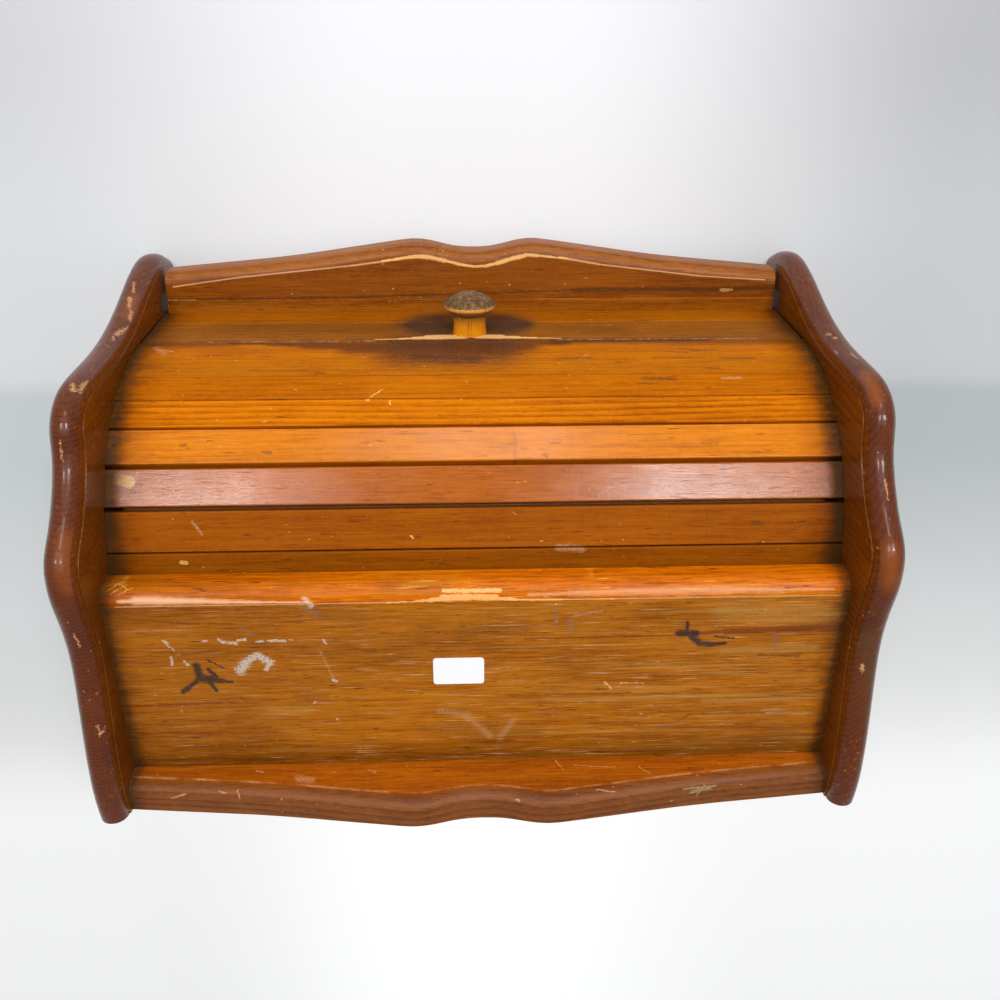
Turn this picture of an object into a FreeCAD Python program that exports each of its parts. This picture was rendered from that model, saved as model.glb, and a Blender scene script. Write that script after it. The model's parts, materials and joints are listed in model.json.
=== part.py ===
import FreeCAD, Part
import math
import os

import Sketcher

# Roll-top bread box of varnished pine. Two S-curved side panels carry a top shelf with a scalloped
# gallery behind it, a floor board with a scalloped front board, and a thin back panel. A tambour
# curtain of ten slats and two lead rails turns in round grooves cut in the side panels, so it rolls
# up and back under the shelf when its knob is lifted.
#
# Frame of the finished part: +Z up, the front faces -Y, X = 0 midway between the side panels and the
# origin at the bottom centre of the bounding box. Each sub-part is drawn with Y = 0 at the gallery's
# front face and is then set back by its Placement. "Depth" is measured forward from that face (-Y).

Vector = FreeCAD.Vector

# ---------------------------------------------------------------------------------------------
# Driving dimensions, in millimetres and degrees
# ---------------------------------------------------------------------------------------------
DRIVING = {
    # case
    "inner_width": 370.0,
    "panel_thickness": 16.0,
    "shelf_thickness": 16.0,
    "shelf_nose_ahead": 8.3,
    "gallery_thickness": 16.0,
    "gallery_peak": 31.2,
    "floor_top": 33.3,
    "floor_thickness": 17.0,
    "sill_depth": 7.7,
    "front_board_depth": 32.4,
    "front_board_end_gap": 2.3,
    "back_thickness": 5.0,
    "back_rabbet": 6.0,
    "back_play": 0.2,
    # edge moulding: a round with a small sunk shoulder, the same on every shaped board
    "moulding_reach": 7.6,
    "moulding_shoulder": 0.8,
    "scallop_scale": 1.0,
    # tambour and its groove
    "arc_radius": 99.0,
    "arc_rear_depth": -3.7,
    "arc_headroom": 1.7,
    "slat_thickness": 7.5,
    "slat_round": 0.7,
    "groove_depth": 5.0,
    "groove_play": 0.4,
    "slat_end_play": 0.5,
    "groove_end_angle": 197.0,
    "loading_mouth_depth": 11.0,
    "loading_mouth_height": 4.5,
    "rail_top_angle": -5.0,
    "rail_end_play": 0.5,
    "rail_rest_gap": 0.3,
    "lower_rail_height": 20.2,
    "handle_rail_height": 31.3,
    "hairline_gap": 0.4,
    "canvas_thickness": 0.6,
    "canvas_margin": 7.0,
    "canvas_hem": 6.0,
    # knob and its screw
    "knob_drop": 13.3,
    "knob_offset": 3.0,
    "knob_cap_diameter": 29.4,
    "knob_rim_thickness": 3.5,
    "knob_dome": 6.9,
    "knob_stem_diameter": 18.0,
    "knob_stem_length": 13.2,
    "screw_diameter": 4.0,
    "screw_head_diameter": 8.0,
    "screw_reach": 12.0,
    # hidden joinery
    "dado_depth": 5.0,
    "dado_stop": 3.6,
    "dowel_diameter": 6.0,
    "dowel_bury": 9.0,
    "dowel_play": 0.3,
    "nail_diameter": 1.6,
    "nail_length": 12.0,
    # paper label on the shelf
    "label_width": 26.0,
    "label_depth": 16.5,
    "label_thickness": 0.15,
    "label_corner": 1.7,
    "label_centre_x": 11.4,
    "label_centre_depth": 60.3,
}

# Slats from the lead rail upwards: face width, and the open gap above the slat's face. The gaps
# stand open on the tight part of the bend and close to a hairline elsewhere.
SLATS = (
    (21.2, 0.4),
    (18.8, 0.4),
    (16.5, 0.4),
    (16.0, 1.6),
    (18.3, 2.6),
    (18.9, 2.6),
    (20.4, 0.9),
    (18.5, 0.4),
    (18.5, 0.4),
    (18.5, 0.0),
)

# The scallop cut on the gallery and on the front board: share of the half width, and the distance
# from the two crests beside the middle.
SCALLOP = (
    (0.0, -5.0),
    (0.07, -4.0),
    (0.13, -1.4),
    (0.185, 0.0),
    (0.25, -1.0),
    (0.38, -4.4),
    (0.6, -10.0),
    (0.8, -13.6),
    (1.0, -17.0),
)

document = FreeCAD.newDocument("RollTopBreadBox")


def make_sheet():
    sheet = document.addObject("Spreadsheet::Sheet", "Sizes")
    for row, (alias, number) in enumerate(DRIVING.items(), start=1):
        sheet.set("A%d" % row, alias)
        sheet.set("B%d" % row, str(number))
        sheet.setAlias("B%d" % row, alias)
    document.recompute()
    return sheet


sheet = make_sheet()


def size(alias):
    return float(getattr(sheet, alias))


# ---------------------------------------------------------------------------------------------
# Places that follow from the driving dimensions
# ---------------------------------------------------------------------------------------------
half_width = size("inner_width") / 2
floor_under = size("floor_top") - size("floor_thickness")
rail_foot = size("floor_top") + size("rail_rest_gap")
rail_split = rail_foot + size("lower_rail_height")
rail_head = rail_split + size("hairline_gap") + size("handle_rail_height")
knob_height = rail_head - size("knob_drop")
arc_depth = size("arc_rear_depth") + size("arc_radius")
arc_height = rail_head + size("hairline_gap") / 2 \
             - size("arc_radius") * math.sin(math.radians(size("rail_top_angle")))
curtain_front = arc_depth + size("arc_radius")
rail_inner_depth = curtain_front - size("slat_thickness")
shelf_under = arc_height + size("arc_radius") + size("arc_headroom")
shelf_top = shelf_under + size("shelf_thickness")
shelf_depth = arc_depth + size("shelf_nose_ahead")
shelf_front = shelf_depth + size("moulding_reach")
floor_front = curtain_front + size("sill_depth")
front_reach = floor_front + size("front_board_depth")
front_board_half = half_width - size("front_board_end_gap")
back_face = size("gallery_thickness")
back_front = back_face - size("back_thickness")

SETBACK = "(Sizes.arc_rear_depth + 2 * Sizes.arc_radius + Sizes.sill_depth" \
          " + Sizes.front_board_depth - Sizes.gallery_thickness) / 2"


# ---------------------------------------------------------------------------------------------
# Building blocks
# ---------------------------------------------------------------------------------------------
def new_body(name):
    body = document.addObject("PartDesign::Body", name)
    body.Label = name
    body.setExpression("Placement.Base.y", SETBACK)
    return body


def origin_plane(body, role):
    return next(plane for plane in body.Origin.OriginFeatures if plane.Role == role)


def new_sketch(body, role, offset="0"):
    """A sketch on one of the body's own planes, moved along its normal by an expression."""
    sketch = body.newObject("Sketcher::SketchObject", body.Name + "_sketch")
    sketch.AttachmentSupport = [(origin_plane(body, role), "")]
    sketch.MapMode = "FlatFace"
    sketch.setExpression("AttachmentOffset.Base.z", offset)
    return sketch


def draw(sketch, edges):
    """Puts a closed chain of edges in the sketch and ties each one to the next where they meet."""
    chain = [sketch.addGeometry(edge, False) for edge in edges]
    for current, following in zip(chain, chain[1:] + chain[:1]):
        ends = [(mine, other) for mine in (1, 2) for other in (1, 2)]
        mine, other = min(ends, key=lambda pair: sketch.getPoint(current, pair[0]).distanceToPoint(
            sketch.getPoint(following, pair[1])))
        sketch.addConstraint(Sketcher.Constraint("Coincident", current, mine, following, other))


def polyline(corners):
    """Straight edges joining the corners in order, given as (across, up)."""
    points = [Vector(across, up, 0) for across, up in corners]
    return [Part.LineSegment(start, end) for start, end in zip(points, points[1:])]


def draw_polygon(sketch, corners):
    draw(sketch, polyline(list(corners) + [corners[0]]))


def draw_circles(sketch, centres, radius_expression):
    for across, up in centres:
        circle = sketch.addGeometry(Part.Circle(Vector(across, up, 0), Vector(0, 0, 1), 1.0), False)
        held = Sketcher.Constraint("Radius", circle, 1.0)
        number = sketch.addConstraint(held)
        sketch.setExpression("Constraints[%d]" % number, radius_expression)


# Two places this near each other, in millimetres, count as one.
TOUCH = 0.01


def directions(points):
    """Unit direction of the smooth curve through the points, at each of them."""
    curve = Part.BSplineCurve()
    curve.interpolate([Vector(across, up, 0) for across, up in points])
    return [curve.tangent(curve.parameter(Vector(across, up, 0)))[0] for across, up in points]


def arc_through(start, middle, end):
    return Part.Arc(*[Vector(across, up, 0) for across, up in (start, middle, end)])


def arc_leaving(start, heading, end):
    """The arc from start to end that leaves start along the heading; a line where it is straight."""
    chord = end - start
    angle = math.atan2(heading.x * chord.y - heading.y * chord.x, heading.dot(chord))
    if abs(angle) < 0.002:
        return Part.LineSegment(start, end)
    bulge = math.tan(angle / 2) / 2
    return Part.Arc(start, (start + end) / 2 + Vector(chord.y, -chord.x, 0) * bulge, end)


def arc_pair(start, heading, end, arrival):
    """Two arcs from start to end that meet smoothly and have these directions at their ends."""
    chord = end - start
    turn = 2 * (1 - heading.dot(arrival))
    reach = chord.dot(heading + arrival)
    if turn < 1e-6:
        length = chord.dot(chord) / (2 * reach)
    else:
        length = (math.sqrt(reach ** 2 + turn * chord.dot(chord)) - reach) / turn
    meeting = (start + heading * length + end - arrival * length) / 2
    second_heading = meeting - start - heading * length
    second_heading.normalize()
    return [arc_leaving(start, heading, meeting), arc_leaving(meeting, second_heading, end)]


def smooth_curve(points, headings=None):
    """A chain of tangent arcs through the points, which passes each one in its heading."""
    headings = headings or directions(points)
    places = [Vector(across, up, 0) for across, up in points]
    arcs = []
    for index in range(len(places) - 1):
        arcs += arc_pair(places[index], headings[index], places[index + 1], headings[index + 1])
    return arcs


def pad(body, sketch, length, reverse=False, midplane=False):
    feature = body.newObject("PartDesign::Pad", body.Name + "_pad")
    feature.Profile = sketch
    feature.setExpression("Length", length)
    feature.Reversed = reverse
    if midplane:
        feature.SideType = "Symmetric"
    document.recompute()
    return feature


def pocket(body, sketch, length, reverse=False):
    """Cuts the sketch into the body and makes sure that it did cut."""
    before = body.Shape.Volume
    feature = body.newObject("PartDesign::Pocket", body.Name + "_pocket")
    feature.Profile = sketch
    feature.setExpression("Length", length)
    feature.Reversed = reverse
    document.recompute()
    if not body.Shape.Volume < before:
        raise RuntimeError(body.Label + ": a pocket misses the solid")
    return feature


def fillet(body, base, radius, wanted):
    """Rounds each edge of the base feature that the test picks out."""
    names = ["Edge%d" % number for number, edge in enumerate(base.Shape.Edges, start=1) if wanted(edge)]
    feature = body.newObject("PartDesign::Fillet", body.Name + "_fillet")
    feature.Base = (base, names)
    feature.setExpression("Radius", radius)
    document.recompute()
    return feature


def along(edge, axis):
    """True where a straight edge runs along the axis."""
    if not isinstance(edge.Curve, Part.Line):
        return False
    return abs(edge.tangentAt(edge.FirstParameter).dot(axis)) > 0.999


def on_arc(degrees, radius):
    """The point at this angle on a circle about the curtain's axis, as (across, up)."""
    angle = math.radians(degrees)
    return -arc_depth - radius * math.cos(angle), arc_height + radius * math.sin(angle)


# ---------------------------------------------------------------------------------------------
# Side panels
# ---------------------------------------------------------------------------------------------
def panel_outline():
    """The S-curve from the top rear corner to the front foot, as (across, up)."""
    top = shelf_top
    nose = shelf_front
    front = curtain_front
    floor = size("floor_top")
    rise = top - floor
    depths_and_heights = [
        (-size("gallery_thickness"), top + 16.8),
        (0.31 * nose, top + 15.6),
        (0.515 * nose, top + 11.7),
        (0.775 * nose, top + 9.0),
        (nose - 6.0, top + 11.6),
        (nose + 11.5, top + 15.0),
        (nose + 24.5, top + 12.4),
        (nose + 32.7, top + 3.6),
        (front - 35.2, top - 11.2),
        (front - 18.5, top - 20.9),
        (front - 6.3, top - 25.2),
        (front + 0.4, top - 33.9),
        (front + 2.9, top - 51.0),
        (front + 3.3, floor + 0.52 * rise),
        (front + 10.6, floor + 0.27 * rise),
        (front + 22.6, floor + 8.3),
        (front + 24.9, floor - 8.0),
        (front + 22.4, floor - 22.0),
        (front + 18.7, 0.0),
    ]
    return [(-depth, height) for depth, height in depths_and_heights]


def panel_profile(distance):
    """Closed profile: the S-curve moved outwards this far, the flat foot and the straight rear edge."""
    points = panel_outline()
    headings = directions(points)
    curve = [(across + heading.y * distance, up - heading.x * distance)
             for (across, up), heading in zip(points, headings)]
    curve[0] = (points[0][0], curve[0][1])
    curve[-1] = (curve[-1][0], 0.0)
    foot_rear = (curve[0][0], 0.0)
    return smooth_curve(curve, headings) + polyline([curve[-1], foot_rear, curve[0]])


def groove_band():
    """Inner and outer radius of the groove that takes the slats' ends."""
    widest = max(width for width, _ in SLATS)
    half_angle = math.asin(widest / 2 / size("arc_radius"))
    inner = size("arc_radius") * math.cos(half_angle) - size("slat_thickness") - size("groove_play")
    return inner, size("arc_radius") + size("groove_play")


def groove_profile():
    """The round track with its straight run-out and loading mouth below the floor's front."""
    inner, outer = groove_band()
    end = size("groove_end_angle")
    mouth_top = size("floor_top") + size("loading_mouth_height")
    mouth_front = -curtain_front - size("loading_mouth_depth")
    outer_start, outer_end = on_arc(0.0, outer), on_arc(end, outer)
    inner_start, inner_end = on_arc(0.0, inner), on_arc(end, inner)

    def arc(start, finish, radius):
        angles = (start, (start + finish) / 2, finish)
        return arc_through(*[on_arc(degrees, radius) for degrees in angles])

    run_out = [inner_start, (inner_start[0], 0.0), (mouth_front, 0.0), (mouth_front, mouth_top),
               (outer_start[0], mouth_top), outer_start]
    tail = polyline([outer_end, inner_end])
    return [arc(0.0, end, outer)] + tail + [arc(end, 0.0, inner)] + polyline(run_out)


def shelf_dowel_places():
    middle = shelf_top - size("shelf_thickness") / 2
    return [(-0.2 * shelf_depth, middle), (-0.75 * shelf_depth, middle)]


def gallery_end_dowel_places():
    return [(size("gallery_thickness") / 2, shelf_top - size("shelf_thickness") / 2)]


def side_nail_heights():
    """Heights clear of the place where the groove comes nearest to the rear edge."""
    return (arc_height - 0.55 * size("arc_radius"), arc_height + 0.6 * size("arc_radius"))


def side_nail_across():
    return half_width + size("back_rabbet") / 2


def floor_nail_places():
    height = size("floor_top") - size("floor_thickness") / 2
    return [(share * half_width, height) for share in (-0.65, 0.0, 0.65)]


def side_panel(name, side):
    """One side panel; side is +1 for the right-hand one, seen from the front, and -1 for the left."""
    body = new_body(name)
    leftward = side < 0
    sign = "" if side > 0 else "-"
    inner_face = sign + "Sizes.inner_width / 2"
    rim_face = sign + "(Sizes.inner_width / 2 + Sizes.moulding_shoulder)"

    rim = new_sketch(body, "YZ_Plane", rim_face)
    draw(rim, panel_profile(size("moulding_reach")))
    rim_pad = pad(body, rim, "Sizes.panel_thickness - 2 * Sizes.moulding_shoulder", reverse=leftward)

    def on_the_curve(edge):
        place = edge.CenterOfMass
        return not along(edge, Vector(1, 0, 0)) and place.z > TOUCH and place.y < back_face - TOUCH

    fillet(body, rim_pad, "(Sizes.panel_thickness / 2 - Sizes.moulding_shoulder) * 0.98", on_the_curve)

    core = new_sketch(body, "YZ_Plane", inner_face)
    draw(core, panel_profile(0.0))
    pad(body, core, "Sizes.panel_thickness", reverse=leftward)

    groove = new_sketch(body, "YZ_Plane", inner_face)
    draw(groove, groove_profile())
    pocket(body, groove, "Sizes.groove_depth", reverse=not leftward)

    dado = new_sketch(body, "YZ_Plane", inner_face)
    dado_front = -arc_depth - groove_band()[0] + size("dado_stop")
    draw_polygon(dado, [(back_face, floor_under), (dado_front, floor_under),
                        (dado_front, size("floor_top")), (back_face, size("floor_top"))])
    pocket(body, dado, "Sizes.dado_depth", reverse=not leftward)

    rabbet = new_sketch(body, "YZ_Plane", inner_face)
    draw_polygon(rabbet, [(back_face, floor_under), (back_front, floor_under),
                          (back_front, shelf_under), (back_face, shelf_under)])
    pocket(body, rabbet, "Sizes.back_rabbet", reverse=not leftward)

    dowels = new_sketch(body, "YZ_Plane", inner_face)
    draw_circles(dowels, shelf_dowel_places() + gallery_end_dowel_places(), "Sizes.dowel_diameter / 2")
    pocket(body, dowels, "Sizes.dowel_bury + Sizes.dowel_play", reverse=not leftward)

    nails = new_sketch(body, "XZ_Plane", "Sizes.back_thickness - Sizes.gallery_thickness")
    draw_circles(nails, [(side * side_nail_across(), height) for height in side_nail_heights()],
                 "Sizes.nail_diameter / 2")
    pocket(body, nails, "Sizes.nail_length - Sizes.back_thickness", reverse=True)
    return body


# ---------------------------------------------------------------------------------------------
# Shelf, gallery, floor, front board and back
# ---------------------------------------------------------------------------------------------
def scallop_points(half, crest):
    """The scallop across the whole width, as (across, level), with its crests at the level given."""
    right = [(share * half, crest + drop * size("scallop_scale")) for share, drop in SCALLOP]
    left = [(-across, level) for across, level in reversed(right[1:])]
    return left + right


def top_shelf():
    body = new_body("top_shelf")
    section = new_sketch(body, "YZ_Plane")
    arris = -shelf_depth
    reach = size("moulding_reach")
    step = shelf_top - size("moulding_shoulder")
    slant = reach * math.sqrt(0.5)
    nose = Part.Arc(Vector(arris, step, 0), Vector(arris - slant, step - reach + slant, 0),
                    Vector(arris - reach, step - reach, 0))
    back = polyline([(arris - reach, step - reach), (arris - reach, shelf_under), (0.0, shelf_under),
                     (0.0, shelf_top), (arris, shelf_top), (arris, step)])
    draw(section, [nose] + back)
    pad(body, section, "Sizes.inner_width", midplane=True)
    for side, sign in ((1, ""), (-1, "-")):
        ends = new_sketch(body, "YZ_Plane", sign + "Sizes.inner_width / 2")
        draw_circles(ends, shelf_dowel_places(), "Sizes.dowel_diameter / 2")
        pocket(body, ends, "Sizes.dowel_bury + Sizes.dowel_play", reverse=side < 0)
    rear = new_sketch(body, "XZ_Plane")
    draw_circles(rear, gallery_rear_dowel_places(), "Sizes.dowel_diameter / 2")
    pocket(body, rear, "Sizes.dowel_bury + Sizes.dowel_play", reverse=True)
    return body


def gallery_rear_dowel_places():
    height = shelf_top - size("shelf_thickness") / 2
    return [(share * half_width, height) for share in (-0.6, 0.0, 0.6)]


def scalloped_profile(half, crest, base):
    """Closed profile: the scallop, square ends and a straight lower edge."""
    points = scallop_points(half, crest)
    return smooth_curve(points) + polyline([points[-1], (half, base), (-half, base), points[0]])


def gallery_board():
    body = new_body("gallery_board")
    crest = shelf_top + size("gallery_peak")
    rim = new_sketch(body, "XZ_Plane", "-Sizes.moulding_shoulder")
    draw(rim, scalloped_profile(half_width, crest, shelf_under))
    rim_pad = pad(body, rim, "Sizes.gallery_thickness - Sizes.moulding_shoulder", reverse=True)

    def front_edge(edge):
        place = edge.CenterOfMass
        on_top = abs(place.x) < half_width - TOUCH and place.z > shelf_under + TOUCH
        return on_top and place.y < size("gallery_thickness") / 2

    fillet(body, rim_pad, "Sizes.moulding_reach - 0.5", front_edge)
    core = new_sketch(body, "XZ_Plane")
    draw(core, scalloped_profile(half_width, crest - size("moulding_reach"), shelf_under))
    pad(body, core, "Sizes.gallery_thickness", reverse=True)

    for side, sign in ((1, ""), (-1, "-")):
        ends = new_sketch(body, "YZ_Plane", sign + "Sizes.inner_width / 2")
        draw_circles(ends, gallery_end_dowel_places(), "Sizes.dowel_diameter / 2")
        pocket(body, ends, "Sizes.dowel_bury + Sizes.dowel_play", reverse=side < 0)
    face = new_sketch(body, "XZ_Plane")
    draw_circles(face, gallery_rear_dowel_places(), "Sizes.dowel_diameter / 2")
    pocket(body, face, "Sizes.dowel_bury + Sizes.dowel_play")
    return body


def front_dowel_places():
    height = size("floor_top") - size("floor_thickness") / 2
    return [(share * front_board_half, height) for share in (-0.65, 0.0, 0.65)]


def floor_board():
    body = new_body("floor_board")
    tongue_half = half_width + size("dado_depth")
    tongue_front = -arc_depth - groove_band()[0] + size("dado_stop")
    plan = new_sketch(body, "XY_Plane", "Sizes.floor_top - Sizes.floor_thickness")
    draw_polygon(plan, [(-tongue_half, back_front), (-tongue_half, tongue_front),
                        (-front_board_half, tongue_front), (-front_board_half, -floor_front),
                        (front_board_half, -floor_front), (front_board_half, tongue_front),
                        (tongue_half, tongue_front), (tongue_half, back_front)])
    pad(body, plan, "Sizes.floor_thickness")
    rear = new_sketch(body, "XZ_Plane", "Sizes.back_thickness - Sizes.gallery_thickness")
    draw_circles(rear, floor_nail_places(), "Sizes.nail_diameter / 2")
    pocket(body, rear, "Sizes.nail_length - Sizes.back_thickness", reverse=True)
    front = new_sketch(body, "XZ_Plane", FLOOR_FRONT)
    draw_circles(front, front_dowel_places(), "Sizes.dowel_diameter / 2")
    pocket(body, front, "Sizes.dowel_bury + Sizes.dowel_play")
    return body


FLOOR_FRONT = "Sizes.arc_rear_depth + 2 * Sizes.arc_radius + Sizes.sill_depth"


def front_board_profile(crest_depth):
    """Closed plan: the scalloped front edge, square ends and the straight rear edge."""
    points = [(across, -depth) for across, depth in scallop_points(front_board_half, crest_depth)]
    ends = [points[-1], (front_board_half, -floor_front), (-front_board_half, -floor_front), points[0]]
    return smooth_curve(points) + polyline(ends)


def base_front_board():
    body = new_body("base_front_board")
    rim = new_sketch(body, "XY_Plane", "Sizes.floor_top - Sizes.floor_thickness")
    draw(rim, front_board_profile(front_reach))
    rim_pad = pad(body, rim, "Sizes.floor_thickness - Sizes.moulding_shoulder")
    middle = size("floor_top") - size("floor_thickness") / 2

    def upper_edge(edge):
        place = edge.CenterOfMass
        on_front = abs(place.x) < front_board_half - TOUCH and place.y < -floor_front - TOUCH
        return on_front and place.z > middle

    fillet(body, rim_pad, "Sizes.moulding_reach - 0.5", upper_edge)
    core = new_sketch(body, "XY_Plane", "Sizes.floor_top - Sizes.floor_thickness")
    draw(core, front_board_profile(front_reach - size("moulding_reach")))
    pad(body, core, "Sizes.floor_thickness")
    rear = new_sketch(body, "XZ_Plane", FLOOR_FRONT)
    draw_circles(rear, front_dowel_places(), "Sizes.dowel_diameter / 2")
    pocket(body, rear, "Sizes.dowel_bury + Sizes.dowel_play", reverse=True)
    return body


def back_panel():
    body = new_body("back_panel")
    play = size("back_play")
    panel_half = half_width + size("back_rabbet") - play
    face = new_sketch(body, "XZ_Plane", "-Sizes.gallery_thickness")
    draw_polygon(face, [(-panel_half, floor_under + play), (panel_half, floor_under + play),
                        (panel_half, shelf_under - play), (-panel_half, shelf_under - play)])
    pad(body, face, "Sizes.back_thickness")
    nails = new_sketch(body, "XZ_Plane", "-Sizes.gallery_thickness")
    draw_circles(nails, back_nail_places(), "Sizes.nail_diameter / 2")
    pocket(body, nails, "Sizes.back_thickness", reverse=True)
    return body


def back_nail_places():
    sides = [(side * side_nail_across(), height) for side in (-1, 1) for height in side_nail_heights()]
    return sides + floor_nail_places()


# ---------------------------------------------------------------------------------------------
# Tambour curtain
# ---------------------------------------------------------------------------------------------
def degrees_of(distance):
    return math.degrees(distance / size("arc_radius"))


def slat_angles():
    """Lower and upper angle of each slat's face, and of its inner face, from the rail upwards."""
    angles = []
    boundary = size("rail_top_angle")
    gap_below = size("hairline_gap")
    for width, gap_above in SLATS:
        low = boundary + degrees_of(gap_below / 2)
        high = low + degrees_of(width)
        next_boundary = high + degrees_of(gap_above / 2)
        hairline = degrees_of(size("hairline_gap") / 2)
        angles.append((low, high, boundary + hairline, next_boundary - hairline))
        boundary = next_boundary
        gap_below = gap_above
    return angles


def slat_corners(low, high, inner_low, inner_high):
    """Trapezoid section: a flat face on the arc's chord, and a parallel flat inner face."""
    face_low, face_high = on_arc(low, size("arc_radius")), on_arc(high, size("arc_radius"))
    half_angle = math.radians((high - low) / 2)
    inner_distance = size("arc_radius") * math.cos(half_angle) - size("slat_thickness")
    middle = (low + high) / 2
    inner = []
    for angle in (inner_high, inner_low):
        radius = inner_distance / math.cos(math.radians(angle - middle))
        inner.append(on_arc(angle, radius))
    return [face_low, face_high] + inner


def strip(name, corners, length, face_corners):
    """A long strip of this section, midway across, with its two face arrises rounded."""
    body = new_body(name)
    section = new_sketch(body, "YZ_Plane")
    draw_polygon(section, corners)
    strip_pad = pad(body, section, length, midplane=True)

    def face_arris(edge):
        place = edge.CenterOfMass
        near = any(math.hypot(place.y - across, place.z - up) < TOUCH for across, up in face_corners)
        return near and along(edge, Vector(1, 0, 0))

    fillet(body, strip_pad, "Sizes.slat_round", face_arris)
    return body


SLAT_LENGTH = "Sizes.inner_width + 2 * (Sizes.groove_depth - Sizes.slat_end_play)"
RAIL_LENGTH = "Sizes.inner_width - 2 * Sizes.rail_end_play"


def slats():
    bodies = []
    for number, angles in enumerate(slat_angles(), start=1):
        corners = slat_corners(*angles)
        bodies.append(strip("slat_%02d" % number, corners, SLAT_LENGTH, corners[:2]))
    return bodies


def rail_corners(foot, head):
    return [(-curtain_front, foot), (-curtain_front, head),
            (-rail_inner_depth, head), (-rail_inner_depth, foot)]


def lead_rail():
    corners = rail_corners(rail_foot, rail_split)
    return strip("lead_rail", corners, RAIL_LENGTH, corners[:2])


def handle_rail():
    corners = rail_corners(rail_split + size("hairline_gap"), rail_head)
    body = strip("handle_rail", corners, RAIL_LENGTH, corners[:2])
    centre = [(size("knob_offset"), knob_height)]
    hole = new_sketch(body, "XZ_Plane", RAIL_FACE)
    draw_circles(hole, centre, "Sizes.screw_diameter / 2")
    pocket(body, hole, "Sizes.slat_thickness")
    return body


RAIL_FACE = "Sizes.arc_rear_depth + 2 * Sizes.arc_radius"


def canvas_path():
    """The line of the curtain's inner faces from the tail to the lead rail."""
    path = []
    for low, high, inner_low, inner_high in reversed(slat_angles()):
        corners = slat_corners(low, high, inner_low, inner_high)
        path += corners[2:]
    path.append((-rail_inner_depth, rail_head))
    path.append((-rail_inner_depth, rail_foot + size("canvas_hem")))
    return path


def towards_axis(point, distance):
    """The point moved towards the curtain's axis, or straight back where it lies below the arc."""
    across, up = point
    if up < on_arc(size("rail_top_angle"), size("arc_radius"))[1]:
        return across + distance, up
    inward = Vector(-arc_depth - across, arc_height - up, 0).normalize()
    return across + inward.x * distance, up + inward.y * distance


def tambour_canvas():
    body = new_body("tambour_canvas")
    outer = canvas_path()
    inner = [towards_axis(point, size("canvas_thickness")) for point in reversed(outer)]
    section = new_sketch(body, "YZ_Plane")
    draw_polygon(section, outer + inner)
    pad(body, section, "Sizes.inner_width - 2 * Sizes.canvas_margin", midplane=True)
    opening = new_sketch(body, "XZ_Plane", RAIL_FACE + " - Sizes.slat_thickness")
    draw_circles(opening, [(size("knob_offset"), knob_height)],
                 "Sizes.screw_head_diameter / 2 + Sizes.hairline_gap")
    pocket(body, opening, "2 * Sizes.canvas_thickness")
    return body


# ---------------------------------------------------------------------------------------------
# Knob and screw, turned about a line through the handle rail
# ---------------------------------------------------------------------------------------------
def turned(name, edges):
    """A turned piece: the half profile lies above the sketch's horizontal axis."""
    body = new_body(name)
    profile = new_sketch(body, "YZ_Plane", "Sizes.knob_offset")
    profile.setExpression("AttachmentOffset.Base.y", KNOB_HEIGHT)
    draw(profile, edges)
    feature = body.newObject("PartDesign::Revolution", name + "_revolution")
    feature.Profile = profile
    feature.ReferenceAxis = (profile, ["H_Axis"])
    feature.Angle = 360.0
    document.recompute()
    return body


KNOB_HEIGHT = "Sizes.floor_top + Sizes.rail_rest_gap + Sizes.lower_rail_height + Sizes.hairline_gap" \
              " + Sizes.handle_rail_height - Sizes.knob_drop"


def knob():
    """Mushroom knob: a waisted stem under a cap with a deep dome, bored for its screw."""
    face = -curtain_front
    waist = size("knob_stem_diameter") / 2
    stem = waist + 0.7
    cap = size("knob_cap_diameter") / 2
    cap_back = face - size("knob_stem_length")
    rim = cap_back - size("knob_rim_thickness")
    crown = rim - size("knob_dome")
    bore = size("screw_diameter") / 2
    bore_end = face - size("screw_reach")
    under = cap - 2.0
    belly = cap - 0.5
    sphere = (cap ** 2 + size("knob_dome") ** 2) / (2 * size("knob_dome"))
    quarter = math.asin(cap / sphere) / 2
    half_way = (crown + sphere * (1 - math.cos(quarter)), sphere * math.sin(quarter))
    edges = [
        arc_through((face, stem), ((face + cap_back) / 2, waist), (cap_back, stem)),
        *polyline([(cap_back, stem), (cap_back, under), (rim + 1.6, belly), (rim, cap)]),
        arc_through((rim, cap), half_way, (crown, 0.0)),
        *polyline([(crown, 0.0), (bore_end, 0.0), (bore_end, bore), (face, bore), (face, stem)]),
    ]
    return turned("knob", edges)


def knob_screw():
    """Pan-head wood screw driven from inside the curtain through the handle rail into the knob."""
    seat = -rail_inner_depth
    tip = -curtain_front - size("screw_reach") + 0.5
    shank = size("screw_diameter") / 2
    head = size("screw_head_diameter") / 2
    crown = seat + 0.6 * head
    corners = [(seat, shank), (seat, head), (seat + 0.3 * head, head), (crown, 0.6 * head),
               (crown, 0.0), (tip, 0.0), (tip + 2.5, shank), (seat, shank)]
    return turned("knob_screw", polyline(corners))


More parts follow.
